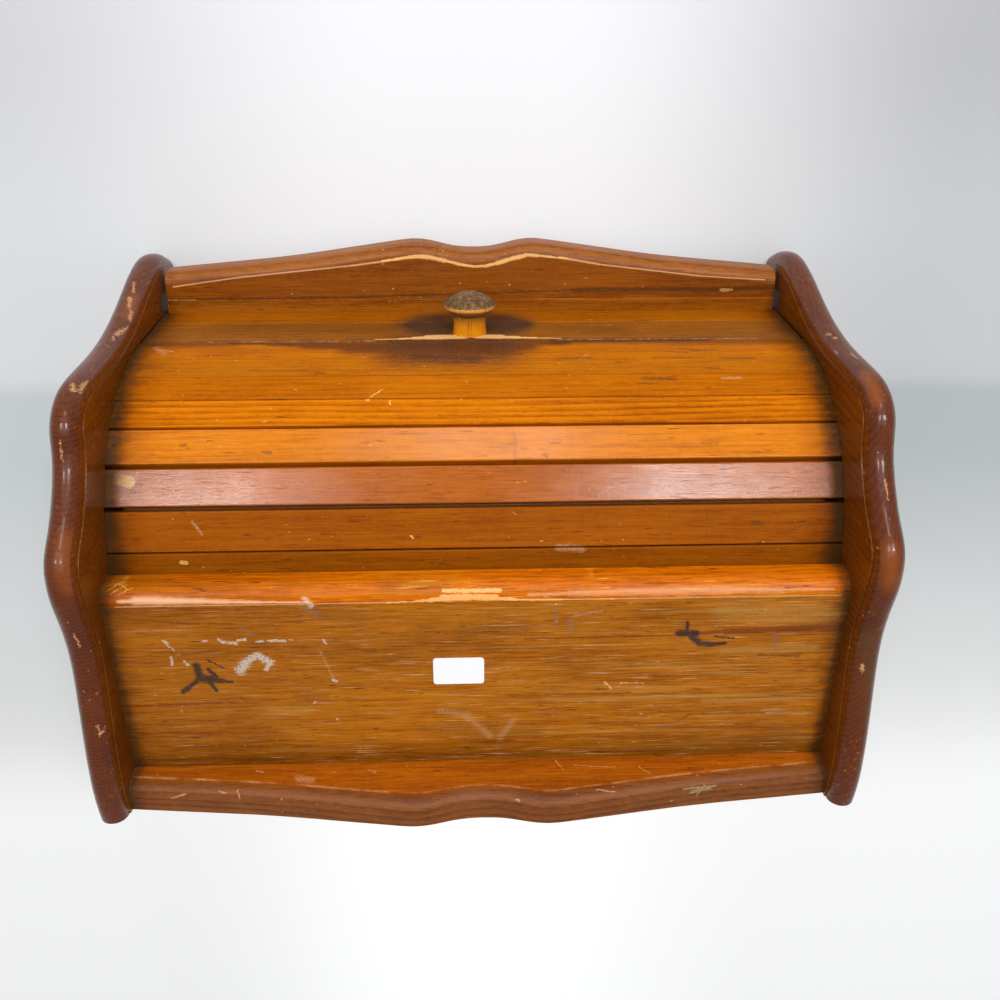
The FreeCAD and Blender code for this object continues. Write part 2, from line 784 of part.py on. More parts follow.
# ---------------------------------------------------------------------------------------------
# Dowels, nails and the paper label
# ---------------------------------------------------------------------------------------------
def pins(name, places, direction, diameter, length):
    """Identical round pins in one node: places are their middles, all along one direction."""
    rotation = FreeCAD.Rotation(Vector(0, 0, 1), direction)
    made = []
    for number, middle in enumerate(places, start=1):
        pin = document.addObject("Part::Cylinder", "%s_%d" % (name, number))
        pin.setExpression("Radius", diameter + " / 2")
        pin.setExpression("Height", length)
        document.recompute()
        pin.Placement = FreeCAD.Placement(middle - direction * (pin.Height.Value / 2), rotation)
        made.append(pin)
    group = document.addObject("Part::Compound", name)
    group.Label = name
    group.Links = made
    group.setExpression("Placement.Base.y", SETBACK)
    return group


DOWEL_LENGTH = "2 * Sizes.dowel_bury"


def shelf_dowels():
    places = [Vector(side * half_width, across, up)
              for side in (-1, 1) for across, up in shelf_dowel_places()]
    return pins("shelf_dowels", places, Vector(1, 0, 0), "Sizes.dowel_diameter", DOWEL_LENGTH)


def gallery_end_dowels():
    places = [Vector(side * half_width, across, up)
              for side in (-1, 1) for across, up in gallery_end_dowel_places()]
    return pins("gallery_end_dowels", places, Vector(1, 0, 0), "Sizes.dowel_diameter", DOWEL_LENGTH)


def gallery_rear_dowels():
    places = [Vector(across, 0, up) for across, up in gallery_rear_dowel_places()]
    return pins("gallery_rear_dowels", places, Vector(0, 1, 0), "Sizes.dowel_diameter", DOWEL_LENGTH)


def front_board_dowels():
    places = [Vector(across, -floor_front, up) for across, up in front_dowel_places()]
    return pins("front_board_dowels", places, Vector(0, 1, 0), "Sizes.dowel_diameter", DOWEL_LENGTH)


def back_panel_nails():
    middle = back_face - size("nail_length") / 2
    places = [Vector(across, middle, up) for across, up in back_nail_places()]
    return pins("back_panel_nails", places, Vector(0, 1, 0), "Sizes.nail_diameter", "Sizes.nail_length")


def paper_label():
    """A sticker with rounded corners, flat on the shelf."""
    body = new_body("paper_label")
    sheet = body.newObject("PartDesign::AdditiveBox", "paper_label_sheet")
    sheet.setExpression("Length", "Sizes.label_width")
    sheet.setExpression("Width", "Sizes.label_depth")
    sheet.setExpression("Height", "Sizes.label_thickness")
    sheet.setExpression("Placement.Base.x", "Sizes.label_centre_x - Sizes.label_width / 2")
    sheet.setExpression("Placement.Base.y", "-Sizes.label_centre_depth - Sizes.label_depth / 2")
    sheet.setExpression("Placement.Base.z", str(shelf_top))
    document.recompute()
    fillet(body, sheet, "Sizes.label_corner", lambda edge: along(edge, Vector(0, 0, 1)))
    return body


# ---------------------------------------------------------------------------------------------
# The whole box, checked and written out
# ---------------------------------------------------------------------------------------------
def build():
    nodes = [side_panel("side_panel_right", 1), side_panel("side_panel_left", -1)]
    nodes += [top_shelf(), gallery_board(), floor_board(), base_front_board(), back_panel()]
    nodes += slats()
    nodes += [lead_rail(), handle_rail(), tambour_canvas(), knob(), knob_screw()]
    nodes += [shelf_dowels(), gallery_end_dowels(), gallery_rear_dowels(), front_board_dowels()]
    nodes += [back_panel_nails(), paper_label()]
    document.recompute()
    return nodes


def check(nodes):
    for item in document.Objects:
        if "Invalid" in item.State or "Error" in item.State:
            raise RuntimeError(item.Label + " failed to build")
    for node in nodes:
        if node.Shape.isNull() or not node.Shape.isValid():
            raise RuntimeError(node.Label + " has no valid shape")


def export(nodes):
    os.makedirs("parts", exist_ok=True)
    for node in nodes:
        node.Shape.exportStep("parts/%s.step" % node.Label)


parts = build()
check(parts)
export(parts)
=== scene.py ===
import json
import math

import bpy
from mathutils import Matrix, Vector


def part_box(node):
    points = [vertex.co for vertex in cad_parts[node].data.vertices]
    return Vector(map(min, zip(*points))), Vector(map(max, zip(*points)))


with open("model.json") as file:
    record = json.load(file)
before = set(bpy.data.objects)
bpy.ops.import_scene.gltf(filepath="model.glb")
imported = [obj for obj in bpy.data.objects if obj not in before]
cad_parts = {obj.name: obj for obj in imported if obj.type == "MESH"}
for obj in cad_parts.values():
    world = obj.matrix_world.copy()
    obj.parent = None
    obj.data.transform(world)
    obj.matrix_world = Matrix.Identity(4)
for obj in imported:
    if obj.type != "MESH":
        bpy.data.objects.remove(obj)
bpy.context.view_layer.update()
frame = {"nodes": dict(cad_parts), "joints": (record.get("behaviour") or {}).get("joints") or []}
nodes = frame["nodes"]

# ---------------------------------------------------------------------------------------------
# Places read from the frame, in metres
# ---------------------------------------------------------------------------------------------
hinge = next(joint for joint in frame["joints"] if joint["name"] == "curtain_roll")
AXIS_Y, AXIS_Z = hinge["pos_m"][1], hinge["pos_m"][2]
rail_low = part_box("handle_rail")[0]
shelf_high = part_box("top_shelf")[1]
knob_low, knob_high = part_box("knob")
panel_low, panel_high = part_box("side_panel_right")
ARC_RADIUS = AXIS_Y - rail_low.y
SHELF_TOP = shelf_high.z
INNER_HALF = panel_low.x
OUTER_HALF = panel_high.x
GALLERY_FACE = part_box("gallery_board")[0].y
FRONT_BOARD_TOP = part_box("base_front_board")[1].z

RAIL_TILT = math.radians(5)  # the rails hang straight from this angle below the axis
KNOB_RIM = 0.0092  # depth of the knob's widest line below its tip
MM = 1000.0


# ---------------------------------------------------------------------------------------------
# Camera: looks down on the upright box at the photograph's angle, the box's front at the top
# ---------------------------------------------------------------------------------------------
CAMERA_PLACE = Vector((0.0080, -0.2701, 0.6224))
CAMERA_PITCH = math.radians(28.14)
CAMERA_YAW = math.radians(-2.11)
CAMERA_ROLL = math.radians(0.75)


def make_camera():
    data = bpy.data.cameras.new("camera")
    data.sensor_width = 36.0
    data.lens = 36.0
    data.clip_start = 0.01
    camera = bpy.data.objects.new("camera", data)
    ahead = Vector((0.0, math.sin(CAMERA_PITCH), -math.cos(CAMERA_PITCH)))
    up = Vector((0.0, -math.cos(CAMERA_PITCH), -math.sin(CAMERA_PITCH)))
    right = ahead.cross(up)
    yaw = Matrix.Rotation(CAMERA_YAW, 3, up)
    ahead, right = yaw @ ahead, yaw @ right
    roll = Matrix.Rotation(CAMERA_ROLL, 3, ahead)
    up, right = roll @ up, roll @ right
    turn = Matrix((right, up, -ahead)).transposed()
    camera.matrix_world = Matrix.Translation(CAMERA_PLACE) @ turn.to_4x4()
    bpy.context.scene.collection.objects.link(camera)
    bpy.context.scene.camera = camera


# ---------------------------------------------------------------------------------------------
# Shader graphs
# ---------------------------------------------------------------------------------------------
class Graph:
    """Adds nodes to one tree. An input is a number, a tuple or another node's output socket."""

    def __init__(self, tree):
        self.tree = tree

    def add(self, kind, inputs=None, **settings):
        node = self.tree.nodes.new(kind)
        for key, value in settings.items():
            setattr(node, key, value)
        for key, value in (inputs or {}).items():
            self.feed(node.inputs[key], value)
        return node

    def feed(self, socket, value):
        if isinstance(value, bpy.types.NodeSocket):
            self.tree.links.new(value, socket)
        elif socket.type == "RGBA":
            socket.default_value = (*value[:3], 1.0)
        elif socket.type == "VECTOR" and not hasattr(value, "__len__"):
            socket.default_value = (value, value, value)
        else:
            socket.default_value = value

    def math(self, operation, *values):
        node = self.add("ShaderNodeMath", operation=operation)
        for socket, value in zip(node.inputs, values):
            self.feed(socket, value)
        return node.outputs[0]

    def plus(self, first, *others):
        for other in others:
            first = self.math("ADD", first, other)
        return first

    def times(self, first, *others):
        for other in others:
            first = self.math("MULTIPLY", first, other)
        return first

    def vector(self, operation, *values):
        node = self.add("ShaderNodeVectorMath", operation=operation)
        for socket, value in zip(node.inputs, values):
            self.feed(socket, value)
        return node.outputs["Value" if operation in ("LENGTH", "DOT_PRODUCT") else "Vector"]

    def scaled(self, vector, factor):
        inputs = {"Vector": vector, "Scale": factor}
        return self.add("ShaderNodeVectorMath", inputs, operation="SCALE").outputs["Vector"]

    def span(self, value, low, high, to_low=0.0, to_high=1.0, kind="SMOOTHSTEP"):
        """Maps low..high to to_low..to_high, and holds both ends."""
        inputs = {"Value": value, "From Min": low, "From Max": high,
                  "To Min": to_low, "To Max": to_high}
        node = self.add("ShaderNodeMapRange", inputs, interpolation_type=kind)
        return node.outputs["Result"]

    def noise(self, vector, scale, detail=3.0, roughness=0.55, distortion=0.0):
        """Noise about zero, mostly within -0.5..0.5. scale may differ along the three axes."""
        if hasattr(scale, "__len__"):
            stretched = self.add("ShaderNodeMapping", {"Vector": vector, "Scale": scale})
            vector, scale = stretched.outputs["Vector"], 1.0
        inputs = {"Vector": vector, "Scale": scale, "Detail": detail, "Roughness": roughness,
                  "Distortion": distortion}
        return self.math("SUBTRACT", self.add("ShaderNodeTexNoise", inputs).outputs["Fac"], 0.5)

    def blend(self, share, first, second, mode="MIX"):
        """Mixes two colours. A Mix node keeps its colour sockets at places 6 and 7, and 2."""
        node = self.add("ShaderNodeMix", data_type="RGBA", blend_type=mode)
        for socket, value in ((node.inputs["Factor"], share), (node.inputs[6], first),
                              (node.inputs[7], second)):
            self.feed(socket, value)
        return node.outputs[2]

    def ramp(self, value, stops):
        node = self.add("ShaderNodeValToRGB", {"Fac": value})
        elements = node.color_ramp.elements
        while len(elements) < len(stops):
            elements.new(0.5)
        for element, (place, colour) in zip(elements, stops):
            element.position = place
            element.color = (*colour, 1.0)
        return node.outputs["Color"]

    def place(self):
        return self.add("ShaderNodeTexCoord").outputs["Object"]

    def axes(self, vector):
        return self.add("ShaderNodeSeparateXYZ", {"Vector": vector}).outputs

    def joined(self, x, y, z):
        return self.add("ShaderNodeCombineXYZ", {"X": x, "Y": y, "Z": z}).outputs["Vector"]


def new_material(name):
    material = bpy.data.materials.new(name)
    material.use_nodes = True
    material.node_tree.nodes.clear()
    return material, Graph(material.node_tree)


def finish_surface(graph, settings, height=None, bump=0.0, reach=0.0004):
    """One Principled surface. height, if given, drives the bump under the smooth coat."""
    shader = graph.add("ShaderNodeBsdfPrincipled", settings)
    if height is not None:
        inputs = {"Height": height, "Strength": bump, "Distance": reach}
        normal = graph.add("ShaderNodeBump", inputs).outputs["Normal"]
        graph.feed(shader.inputs["Normal"], normal)
    out = graph.add("ShaderNodeOutputMaterial")
    graph.feed(out.inputs["Surface"], shader.outputs["BSDF"])


# ---------------------------------------------------------------------------------------------
# Colours of the wood's ageing, besides a painted highlight on the shelf's nose and a painted shadow
# under the knob's cap
# ---------------------------------------------------------------------------------------------
BARE = (0.90, 0.50, 0.17)
PALE = (0.66, 0.42, 0.22)
CHALK = (0.66, 0.62, 0.54)
GRIME = (0.046, 0.025, 0.007)
SOOT = (0.022, 0.019, 0.019)
PLUM = (0.064, 0.021, 0.012)
RUST = (0.150, 0.030, 0.006)
UMBER = (0.095, 0.040, 0.012)
OLIVE = (0.44, 0.25, 0.06)
ASH = (0.20, 0.14, 0.10)
DUST = (0.15, 0.13, 0.09)
KNOT = (0.66, 0.36, 0.07)
# A painted highlight on the shelf's nose
PAINTED_HIGHLIGHT = (0.92, 0.55, 0.32)
WORN = (0.76, 0.40, 0.17)
RUSSET = (0.26, 0.065, 0.008)
CHIP = (0.42, 0.17, 0.05)
SCRAPE = (0.48, 0.38, 0.16)
# A painted shadow under the knob's cap
CAP_SHADOW = (0.16, 0.07, 0.02)


# ---------------------------------------------------------------------------------------------
# Marks. Each group is (tone, strength, raggedness, softness, strokes). A stroke is
# (u0, v0, u1, v1, radius) in mm on the board's own flat map.
# ---------------------------------------------------------------------------------------------
SHELF_MARKS = [
    (UMBER, 0.42, 1.2, 0.95, [
        (46, -4, 18, -3, 5.0), (96, 63, 80, 63.5, 1.6), (-156, 93, -168, 96, 3.0),
        (80, 12, 60, 16, 3.0), (8, 24, -22, 22, 4.5), (30, 88, -30, 90, 3.5)]),
    (OLIVE, 0.60, 1.6, 0.95, [
        (109, 72, 90, 72.5, 2.0), (-122, 15, -180, 17, 5.0), (-124, 39, -172, 38, 2.2),
        (-118, 72, -168, 71, 1.4)]),
    (RUST, 0.80, 0.6, 0.45, [
        (-22, 29.7, -99, 28.9, 0.45), (-99, 28.7, -126, 27.2, 1.1), (-124, 27.2, -186, 25.4, 1.9),
        (184, 67.6, 134, 66.7, 0.6)]),
    (UMBER, 0.75, 1.0, 0.5, [
        (153, 16.4, 138, 16.8, 0.5), (134, 17, 122, 17.6, 0.45), (121, 84, 110, 83.5, 0.5),
        (-143, 42.5, -164, 43.6, 0.7), (-105, 85.2, -111, 80.6, 0.4), (-111, 80.6, -137, 80, 0.3),
        (-137, 80.6, -152, 81, 0.5), (124, 63, 121, 66, 0.5), (60, 35, 52, 35.4, 0.5)]),
    (ASH, 0.45, 1.4, 0.9, [
        (119, 20, 112, 24.3, 0.7), (-150, 31, -151, 35, 1.8), (-37.2, 11.5, -38, 23, 1.0),
        (-44.6, 18.5, -45, 24.6, 1.5), (88, 8, 80, 13, 1.8)]),
    (SOOT, 1.0, 0.6, 0.5, [
        (143.8, 42.5, 142.6, 49, 2.0), (143, 50.5, 137, 51.2, 2.5), (136.5, 51.6, 132, 52.4, 1.5),
        (132, 52.4, 127, 53.2, 0.8), (144, 51.5, 149, 56, 1.2), (149, 56, 152.6, 58.8, 1.5),
        (139, 52, 135.6, 58.4, 1.1), (138, 45, 134.6, 49.6, 1.2), (138, 39, 130, 44.4, 0.4),
        (-100.6, 27.7, -109, 28.2, 2.2), (-104.3, 21, -104.3, 27, 0.9),
        (-106.5, 29.5, -111.6, 34, 1.8), (-111.6, 34.4, -118, 35.2, 1.8),
        (-118, 35.2, -124.6, 34.6, 1.0), (-119, 30, -129, 31.6, 0.5)]),
    (CHALK, 0.95, 1.9, 0.35, [
        (122, 46, 119.5, 42.5, 2.4), (119, 41, 113, 37, 2.0), (112.5, 36.8, 106.6, 41.3, 1.9),
        (106.5, 42, 109, 45.6, 1.0), (158, 26.8, 156, 28.4, 0.7), (138.5, 27.3, 137, 27.2, 0.5),
        (131, 26.6, 128, 28.4, 0.8), (126, 28.8, 122, 28.9, 0.7), (121, 27.2, 117.5, 26.9, 0.6),
        (112, 28.5, 109, 28.1, 0.5), (106, 27.8, 98, 28.2, 0.7), (95, 27.4, 94, 27.4, 0.4),
        (79, 28, 77.6, 30.2, 0.6), (158, 27.5, 153, 33, 0.35), (155.6, 37, 155.4, 41.4, 0.5),
        (149.5, 39.5, 148, 42.2, 0.5), (75.8, 53.2, 74.2, 54.2, 0.7), (86, 67.4, 86.3, 67.6, 0.6),
        (75.5, 79, 75.2, 79, 0.6), (86.4, 2.6, 83, 7.0, 1.3)]),
    (PALE, 0.34, 1.9, 0.95, [
        (21.6, 75, 7, 78, 1.5), (8, 78, -4.7, 92.7, 1.6), (-17.2, 81.7, -9.8, 94.7, 1.5),
        (12, 77, -4, 90, 0.9), (81, 35.4, 75, 53.9, 0.5), (171, 20, 143, 20.6, 0.3),
        (-47, 16, -60, 13.5, 0.7), (-152, 81, -177, 81.3, 0.5), (0, 49, -20, 48.4, 0.5)]),
    # Painted highlights along the rear edge of the shelf's nose
    (PAINTED_HIGHLIGHT, 0.92, 0.5, 0.98, [
        (176, 2.8, 168, 2.6, 1.0), (168, 2.4, 156, 2.6, 2.2), (156, 2.6, 146, 3.0, 1.9),
        (146, 3.0, 136, 3.4, 1.5), (136, 3.5, 124, 4.0, 1.15), (124, 4.0, 108, 4.6, 0.85),
        (108, 4.6, 84, 5.2, 0.55)]),
    # Fainter painted highlights along the nose's rear edge, at its other end
    (PAINTED_HIGHLIGHT, 0.45, 0.7, 0.98, [
        (-24, 2.6, -44, 2.4, 0.8), (-44, 2.2, -70, 2.0, 1.5), (-70, 2.0, -124, 1.8, 2.0),
        (-124, 1.8, -150, 2.0, 1.5), (-150, 2.0, -176, 2.2, 0.8)]),
    (WORN, 0.75, 0.3, 0.8, [(178, 6.3, 42, 6.3, 0.3), (-64, 6.3, -180, 6.3, 0.3)]),
    (BARE, 0.85, 1.2, 0.4, [
        (-64, 58, -67.8, 62, 0.6), (-73, 58.9, -84, 59.1, 0.3), (182, -4, 176, -12, 0.3),
        (180, -2, 173, -9, 0.25), (176, -2, 170, -6, 0.2), (178, -11, 171, -5, 0.2),
        (-37.2, 8.6, -37.4, 8.8, 0.4)]),
    (BARE, 1.0, 0.8, 0.2, [
        (46, 6.2, 31, 5.9, 0.35), (31, 5.7, 24, 5.3, 0.7), (25, 5.1, 18, 4.6, 1.3),
        (18, 3.9, 6, 3.7, 2.2), (6, 3.5, -7, 4.2, 1.9), (-7, 4.5, -17, 5.4, 1.1),
        (18, -1.0, 6, -0.5, 1.3), (4, -0.8, -9, -0.6, 1.5)]),
    (BARE, 0.95, 0.25, 0.3, [(-14, 5.8, -40, 6.1, 0.5), (-40, 6.1, -66, 6.3, 0.28)]),
]

CURTAIN_MARKS = [
    (PLUM, 0.34, 1.3, 0.9, [(140, -33, 52, -30, 11.0), (-50, -26, -84, -24, 7.0)]),
    (PLUM, 0.97, 0.9, 0.55, [
        (134, -7, 112, -6, 2.2), (112, -6, 92, -4, 3.8), (92, -4, 66, -1, 6.5),
        (66, 0, 40, 2, 11.0), (40, 4, -8, 4, 19.0), (-8, 1, -26, -2, 11.0), (-26, -4, -48, -5, 5.0),
        (-50, -7, -130, -7, 2.0)]),
    (SOOT, 0.66, 1.1, 0.9, [(40, -2, -12, -2, 10.0), (32, 15, 0, 17, 4.0)]),
    (SOOT, 0.97, 0.6, 0.42, [
        (22, -36, 12, -36, 21.0), (32, -36, 26, -36, 11.0), (-6, -36, -12, -36, 21.0),
        (-16, -36, -24, -36, 11.0)]),
    (RUST, 0.45, 1.8, 0.6, [
        (100, 7, 44, 10, 0.6), (-88, 37, -106, 37.6, 0.8), (120, 26.6, 30, 27.2, 0.45),
        (-114, 77, -122, 77.4, 1.0), (40, 46, 4, 45, 0.5), (-20, 52, -120, 50, 0.8),
        (-60, 58, -150, 55, 0.6), (20, 60, -60, 61, 0.5)]),
    (PLUM, 0.70, 0.7, 0.8, [
        (-46, -6, -110, -5, 4.0), (-110, -5, -174, -4, 5.0), (178, -5, 134, -6, 4.0)]),
    (UMBER, 0.90, 1.5, 0.6, [
        (84, 29.8, 80, 29.9, 0.9), (-112, 6, -122, 8, 0.8), (-118, 10, -132, 9, 0.9),
        (-104, 11, -116, 12.4, 0.5), (-44, 17.2, -62, 17.6, 0.8), (-88, 36, -104, 37, 0.9),
        (-84, 40, -96, 40.4, 0.5), (-122, 28, -130, 28.4, 0.7), (-96, 17.6, -124, 18, 0.5),
        (20, 21, -6, 21.4, 0.4), (-133, 18.7, -152, 18.7, 0.8), (149, 75.2, 146.6, 75.2, 0.6),
        (108, 79.3, 104, 80, 0.7), (-32.6, 82.8, -34.4, 83, 0.9), (147, 109.8, 146.2, 110, 0.6),
        (32, 123.6, 29, 123.9, 0.6), (-139, 119, -143, 119.6, 1.2), (112, 49, 98, 49.4, 0.5)]),
    (UMBER, 0.25, 0.5, 0.8, [
        (-18.5, 71, -18.5, 86, 0.9), (-115, 111, -115, 127, 0.4)]),
    (PALE, 0.45, 1.3, 0.6, [
        (175, -1, 168, 9, 1.8), (142.5, 114, 138, 120.6, 0.6), (-130, 36.4, -140, 36.6, 0.9),
        (150, -8.4, 56, -8.4, 0.5), (-46, -8.4, -160, -8.4, 0.5), (-40, 130, -52, 131, 1.6)]),
    (BARE, 0.90, 0.9, 0.4, [
        (55, 48, 49.4, 43, 0.35), (57, 50, 56, 50, 0.7), (45, 51, 44.8, 53, 0.35),
        (34.2, 123, 33.2, 124.2, 0.5), (174, 3, 164, 5, 0.4)]),
    (PLUM, 0.45, 0.6, 0.6, [(178.2, 93.6, 171.6, 95.4, 3.7), (149, 135.4, 146.4, 135.6, 1.5)]),
    (KNOT, 0.90, 0.3, 0.3, [(178.6, 92.8, 173.2, 94.0, 2.9), (149, 135.2, 146.6, 135.4, 1.1)]),
    (BARE, 1.0, 0.5, 0.3, [
        (56, -10.4, 42, -10.8, 0.6), (42, -11.2, 34, -11.8, 1.3), (34, -12.2, 26, -13, 2.2),
        (26, -13.4, 7, -14.2, 3.6), (-2, -14.2, -14, -13.6, 3.4), (-14, -13, -24, -12.2, 2.2),
        (-24, -11.8, -34, -11.2, 1.3), (-34, -10.8, -48, -10.2, 0.6)]),
]

GALLERY_MARKS = [
    (PALE, 0.55, 1.6, 0.8, [(97, 222, 90, 223.6, 1.9)]),
    (SCRAPE, 0.75, 2.2, 0.6, [
        (-107, 236.4, -124, 234.6, 0.6), (-111, 238.6, -121, 236.0, 0.9),
        (-114, 241, -118, 234, 0.5)]),
    (WORN, 0.75, 1.2, 0.5, [
        (-40, 213, -43.5, 220, 0.3), (-50, 217, -72, 219, 0.3), (-84, 219, -90, 225, 0.25),
        (150, 221, 146, 221.4, 0.5), (60, 217, 56, 219, 0.3), (120, 216, 116, 217, 0.4),
        (163, 234.2, 155, 231.2, 0.35), (128, 229.4, 126.8, 235.4, 0.3),
        (138, 230, 134, 231.4, 0.3), (-60, 235.4, -70, 237.4, 0.4), (-18, 241, -19, 242.2, 0.7)]),
]

FRONT_MARKS = [
    (GRIME, 0.85, 0.9, 0.6, [(186, -93, 150, -93.2, 1.0), (150, -93.3, 60, -94.6, 0.6),
                             (60, -94.8, -60, -97.6, 0.5), (-60, -98.0, -186, -98.4, 1.3)]),
    (BARE, 0.60, 1.4, 0.5, [(183, -92.6, 166, -92.8, 0.5), (-150, -97.4, -156, -97.6, 0.9)]),
    (WORN, 0.85, 0.15, 0.85, [
        (178, -101, 138, -106.4, 0.32), (138, -106.4, 73, -113.0, 0.36),
        (73, -113.0, 43, -117.0, 0.45), (-51, -117.5, -75, -113.2, 0.5),
        (-75, -113.2, -136, -105.9, 0.36), (-136, -105.9, -176, -103.3, 0.3)]),
    (BARE, 0.95, 0.35, 0.5, [
        (54, -115.8, 46, -116.9, 0.5), (46, -116.9, 38, -118.0, 0.75),
        (38, -118.1, 31, -118.5, 0.95), (31, -118.5, 25, -117.7, 1.1),
        (25, -117.7, 17, -115.8, 1.05), (17, -115.8, 8, -113.6, 0.8), (8, -113.6, 0, -112.3, 0.6),
        (0, -112.3, -7, -112.6, 0.6), (-7, -112.6, -14, -114.2, 0.8),
        (-14, -114.2, -23, -117.0, 1.05), (-23, -117.0, -31, -118.8, 1.1),
        (-31, -118.9, -38, -118.6, 0.9), (-38, -118.6, -46, -117.7, 0.65),
        (-46, -117.7, -56, -116.7, 0.45)]),
]


PANEL_MARKS = {
    "side_panel_right": [
        (RUSSET, 0.70, 0.6, 0.95, [(189, 118, 188, 132, 3.5), (190, -24, 189, -6, 3.0)]),
        (WORN, 0.85, 2.3, 0.5, [
            (192.5, -36, 191, -28, 0.7), (191.5, -22, 190, -14, 0.9), (188.5, -12, 187.5, -4, 0.8),
            (187, 0, 188, 6, 0.5), (188.8, 8, 189.6, 12, 1.2), (190.6, 15, 190, 18, 0.6),
            (191.9, 62, 190, 65, 1.0), (187.7, 64, 186.8, 58, 1.1), (185.6, 66, 185.2, 72, 0.5),
            (193.4, 84, 193.2, 90, 0.4), (190.4, 189, 189.6, 192.4, 0.4),
            (189.4, 192.4, 187, 191, 0.35), (192, 152, 191.4, 158, 0.4),
            (186, 100, 185.6, 108, 0.4)])],
    "side_panel_left": [
        (RUSSET, 0.85, 0.6, 0.95, [(-190.6, 126, -192.2, 134, 4.0), (-190, 60, -190, 72, 3.0)]),
        (UMBER, 0.75, 0.6, 0.9, [(-190.6, 161, -195, 176, 4.5), (-195, 176, -199, 190, 4.0)]),
        (WORN, 0.85, 2.3, 0.5, [
            (-189.0, 16.4, -190.2, 17.8, 0.8), (-190.8, 21.4, -191.6, 22.2, 0.7),
            (-190.4, 173.4, -190.7, 174.4, 0.9), (-192, 40, -192.6, 46, 0.4),
            (-187, 30, -187.4, 36, 0.4), (-193, 100, -193.4, 108, 0.4)])],
}


# ---------------------------------------------------------------------------------------------
# Flat maps of the boards, in mm
# ---------------------------------------------------------------------------------------------
INNER_FACE = 0.0022  # the side panels' rounded rim begins this far out from their inner face


def flat_top(graph, place):
    """Plan view in mm. v also counts the way down from the shelf's top, so it rounds the nose."""
    x, y, z = graph.axes(place)
    drop = graph.math("MINIMUM", graph.math("SUBTRACT", z, SHELF_TOP), 0.0)
    drop = graph.times(drop, graph.math("GREATER_THAN", z, AXIS_Z))
    return graph.joined(graph.times(x, MM), graph.times(graph.plus(y, drop), MM), 0.0)


def flat_gallery(graph, place):
    """Front view in mm, with the way back over the rounded edge added to the height."""
    x, y, z = graph.axes(place)
    back = graph.math("SUBTRACT", y, GALLERY_FACE)
    return graph.joined(graph.times(x, MM), graph.times(graph.plus(z, back), MM), 0.0)


def flat_rim(graph, place):
    """flat_curtain for a side panel's rim. It keeps the marks off the panel's inner face."""
    u, v, _ = graph.axes(flat_curtain(graph, place))
    rim = graph.math("GREATER_THAN", graph.math("ABSOLUTE", u), (INNER_HALF + INNER_FACE) * MM)
    return graph.joined(graph.times(u, rim), v, 0.0)


def flat_curtain(graph, place):
    """The curtain unrolled: u is x, v the way up the arc from its axis' height, in mm."""
    x, y, z = graph.axes(place)
    rise = graph.math("SUBTRACT", z, AXIS_Z)
    angle = graph.math("ARCTAN2", rise, graph.math("SUBTRACT", AXIS_Y, y))
    along = graph.times(angle, ARC_RADIUS * MM)
    below = graph.math("LESS_THAN", angle, -RAIL_TILT)
    v = graph.plus(graph.times(along, graph.math("SUBTRACT", 1.0, below)),
                   graph.times(rise, below, MM))
    return graph.joined(graph.times(x, MM), v, 0.0)


# Noise scales per mm of a flat map: a line's drift along u and v, its edges and its gaps
DRIFT_U, DRIFT_V = (0.35, 0.50, 1.0), (0.30, 0.75, 1.0)
FINE_EDGE, LONG_EDGE = (0.9, 1.8, 1.0), (0.12, 1.5, 1.0)
GAP_SIZE = (1.1, 2.6, 1.0)


def stroke_reach(graph, spot, stroke):
    """The spot's distance from the stroke's line, in radii."""
    u0, v0, u1, v1, radius = stroke
    along = Vector((u1 - u0, v1 - v0, 0.0))
    offset = graph.vector("SUBTRACT", spot, (u0, v0, 0.0))
    share = graph.vector("DOT_PRODUCT", offset, tuple(along / along.length_squared))
    share = graph.math("MINIMUM", graph.math("MAXIMUM", share, 0.0), 1.0)
    spread = graph.vector("SUBTRACT", offset, graph.scaled(tuple(along), share))
    return graph.times(graph.vector("LENGTH", spread), 1.0 / radius)


def add_marks(graph, colour, flat, groups):
    """Lays each group of strokes over the colour, with wandering lines and broken edges."""
    drift = graph.joined(graph.times(graph.noise(flat, DRIFT_U, 5.0, 0.65), 4.2),
                         graph.times(graph.noise(flat, DRIFT_V, 5.0, 0.65), 3.4), 0.0)
    edges = graph.plus(graph.times(graph.noise(flat, FINE_EDGE, 4.0, 0.7), 1.6),
                       graph.times(graph.noise(flat, LONG_EDGE, 3.0, 0.6), 1.3))
    gaps = graph.span(graph.noise(flat, GAP_SIZE, 4.0, 0.7), -0.12, 0.10, 1.0, 0.0)
    for tone, strength, ragged, softness, strokes in groups:
        drifted = graph.vector("ADD", flat, graph.scaled(drift, min(ragged, 1.0)))
        nearest = None
        for stroke in strokes:
            reach = stroke_reach(graph, drifted, stroke)
            nearest = reach if nearest is None else graph.math("MINIMUM", nearest, reach)
        nearest = graph.plus(nearest, graph.times(edges, ragged))
        mask = graph.span(nearest, 1.0 - softness, 1.0 + softness, strength, 0.0)
        mask = graph.times(mask, graph.plus(1.0, graph.times(gaps, -0.6 * min(ragged, 1.6))))
        colour = graph.blend(mask, colour, tone)
    return colour


# ---------------------------------------------------------------------------------------------
# Aged, varnished pine
# ---------------------------------------------------------------------------------------------
# Noise scales per metre, along the grain and twice across it
FINE_GRAIN = (60.0, 1700.0, 1700.0)
MIDDLE_GRAIN = (16.0, 460.0, 460.0)
BROAD_CLOUDS = (11.0, 36.0, 36.0)
FLECK_GRAIN = (75.0, 820.0, 820.0)
DING_GRAIN = (300.0, 520.0, 520.0)
SWAY_GRAIN = (2.4, 14.0, 14.0)
GRIME_EDGE = (60.0, 160.0, 160.0)

# Factors on the wood's colour in the painted shade near the side panels, and in a fleck
PANEL_SHADE = (0.44, 0.32, 0.12)
FLECK_SHADE = (0.22, 0.15, 0.2)


